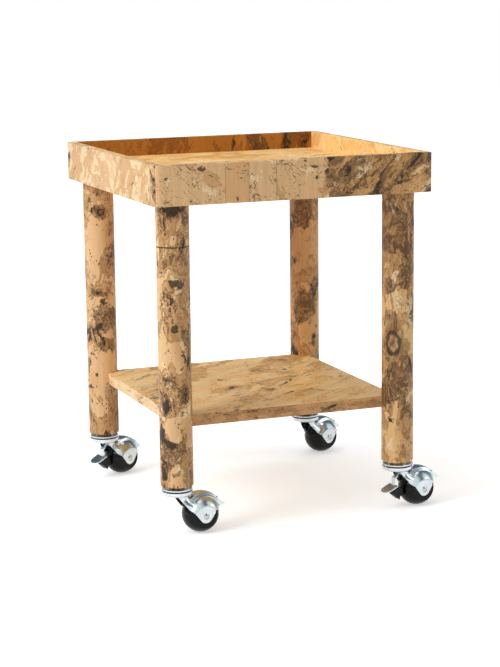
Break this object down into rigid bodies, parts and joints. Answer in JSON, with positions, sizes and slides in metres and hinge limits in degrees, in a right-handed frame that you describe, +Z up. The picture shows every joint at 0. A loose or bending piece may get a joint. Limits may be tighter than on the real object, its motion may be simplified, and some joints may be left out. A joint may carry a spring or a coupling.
{
  "type": "cheese trolley",
  "caption": "Square tray trolley in burl veneer: a shallow tray on round legs over a low shelf, on hooded ball casters that swivel and roll, some with a rocker brake.",
  "frame": {"origin": "on the floor under the middle of the tray", "axes": "+Z up; -Y is the side seen at the front of the picture; +X to the right along that side"},
  "size_m": [0.4858, 0.4559, 0.565],
  "materials": {
    "tray_burl_veneer": "pieced burl veneer under a satin clear lacquer",
    "tray_floor_veneer": "golden burl veneer under a satin clear lacquer",
    "leg_veneer": "blotched burl veneer on a turned leg, satin lacquer",
    "shelf_veneer": "fine-specked burl veneer, satin lacquer",
    "hardwood": "plain hardwood",
    "bright_zinc": "bright zinc plate on pressed sheet",
    "zinc_steel": "bright zinc plate",
    "chrome_steel": "polished steel balls",
    "brass": "turned brass",
    "black_ball": "glossy black moulding",
    "black_shoe": "black moulding, dull"
  },
  "bodies": {
    "table": {"tray_front_rail": "tray_burl_veneer", "tray_right_rail": "tray_burl_veneer", "tray_back_rail": "tray_burl_veneer", "tray_left_rail": "tray_burl_veneer", "corner_splines": "hardwood", "tray_panel": "tray_floor_veneer", "leg_front_left": "leg_veneer", "leg_front_right": "leg_veneer", "leg_back_left": "leg_veneer", "leg_back_right": "leg_veneer", "leg_hanger_bolts": "zinc_steel", "panel_inserts": "brass", "shelf": "shelf_veneer", "shelf_dowels": "hardwood", "caster_front_left_stem": "zinc_steel", "caster_front_left_socket": "zinc_steel", "caster_front_left_upper_race": "bright_zinc", "caster_front_right_stem": "zinc_steel", "caster_front_right_socket": "zinc_steel", "caster_front_right_upper_race": "bright_zinc", "caster_back_left_stem": "zinc_steel", "caster_back_left_socket": "zinc_steel", "caster_back_left_upper_race": "bright_zinc", "caster_back_right_stem": "zinc_steel", "caster_back_right_socket": "zinc_steel", "caster_back_right_upper_race": "bright_zinc"},
    "caster_front_left_fork": {"caster_front_left_hood": "bright_zinc", "caster_front_left_axle": "zinc_steel", "caster_front_left_bearing_balls": "chrome_steel"},
    "caster_front_left_wheel": {"caster_front_left_ball": "black_ball"},
    "caster_front_right_brake": {"caster_front_right_brake_lever": "zinc_steel", "caster_front_right_brake_shoe": "black_shoe"},
    "caster_front_right_fork": {"caster_front_right_hood": "bright_zinc", "caster_front_right_axle": "zinc_steel", "caster_front_right_bearing_balls": "chrome_steel", "caster_front_right_brake_pin": "zinc_steel"},
    "caster_front_right_wheel": {"caster_front_right_ball": "black_ball"},
    "caster_back_left_brake": {"caster_back_left_brake_lever": "zinc_steel", "caster_back_left_brake_shoe": "black_shoe"},
    "caster_back_left_fork": {"caster_back_left_hood": "bright_zinc", "caster_back_left_axle": "zinc_steel", "caster_back_left_bearing_balls": "chrome_steel", "caster_back_left_brake_pin": "zinc_steel"},
    "caster_back_left_wheel": {"caster_back_left_ball": "black_ball"},
    "caster_back_right_fork": {"caster_back_right_hood": "bright_zinc", "caster_back_right_axle": "zinc_steel", "caster_back_right_bearing_balls": "chrome_steel"},
    "caster_back_right_wheel": {"caster_back_right_ball": "black_ball"}
  },
  "joints": [
    {"name": "caster_front_left_swivel", "type": "hinge", "parent": "table", "child": "caster_front_left_fork", "pos_m": [-0.1842, -0.1842, 0.07], "axis": [0, 0, 1], "continuous": true},
    {"name": "caster_front_left_roll", "type": "hinge", "parent": "caster_front_left_fork", "child": "caster_front_left_wheel", "pos_m": [-0.14653, -0.1811, 0.0285], "axis": [0.0819, -0.9966, 0], "continuous": true},
    {"name": "caster_front_right_swivel", "type": "hinge", "parent": "table", "child": "caster_front_right_fork", "pos_m": [0.1842, -0.1842, 0.07], "axis": [0, 0, 1], "continuous": true},
    {"name": "caster_front_right_roll", "type": "hinge", "parent": "caster_front_right_fork", "child": "caster_front_right_wheel", "pos_m": [0.2212, -0.17647, 0.0285], "axis": [0.2045, -0.9789, 0], "continuous": true},
    {"name": "caster_front_right_brake_rock", "type": "hinge", "parent": "caster_front_right_fork", "child": "caster_front_right_brake", "pos_m": [0.19037, -0.18291, 0.0555], "axis": [0.2045, -0.9789, 0], "range_deg": [0, 2.8]},
    {"name": "caster_back_left_swivel", "type": "hinge", "parent": "table", "child": "caster_back_left_fork", "pos_m": [-0.1842, 0.1842, 0.07], "axis": [0, 0, 1], "continuous": true},
    {"name": "caster_back_left_roll", "type": "hinge", "parent": "caster_back_left_fork", "child": "caster_back_left_wheel", "pos_m": [-0.1504, 0.20112, 0.0285], "axis": [0.4478, -0.8942, 0], "continuous": true},
    {"name": "caster_back_left_brake_rock", "type": "hinge", "parent": "caster_back_left_fork", "child": "caster_back_left_brake", "pos_m": [-0.17857, 0.18702, 0.0555], "axis": [0.4478, -0.8942, 0], "range_deg": [0, 2.8]},
    {"name": "caster_back_right_swivel", "type": "hinge", "parent": "table", "child": "caster_back_right_fork", "pos_m": [0.1842, 0.1842, 0.07], "axis": [0, 0, 1], "continuous": true},
    {"name": "caster_back_right_roll", "type": "hinge", "parent": "caster_back_right_fork", "child": "caster_back_right_wheel", "pos_m": [0.21947, 0.19781, 0.0285], "axis": [0.36, -0.933, 0], "continuous": true}
  ]
}
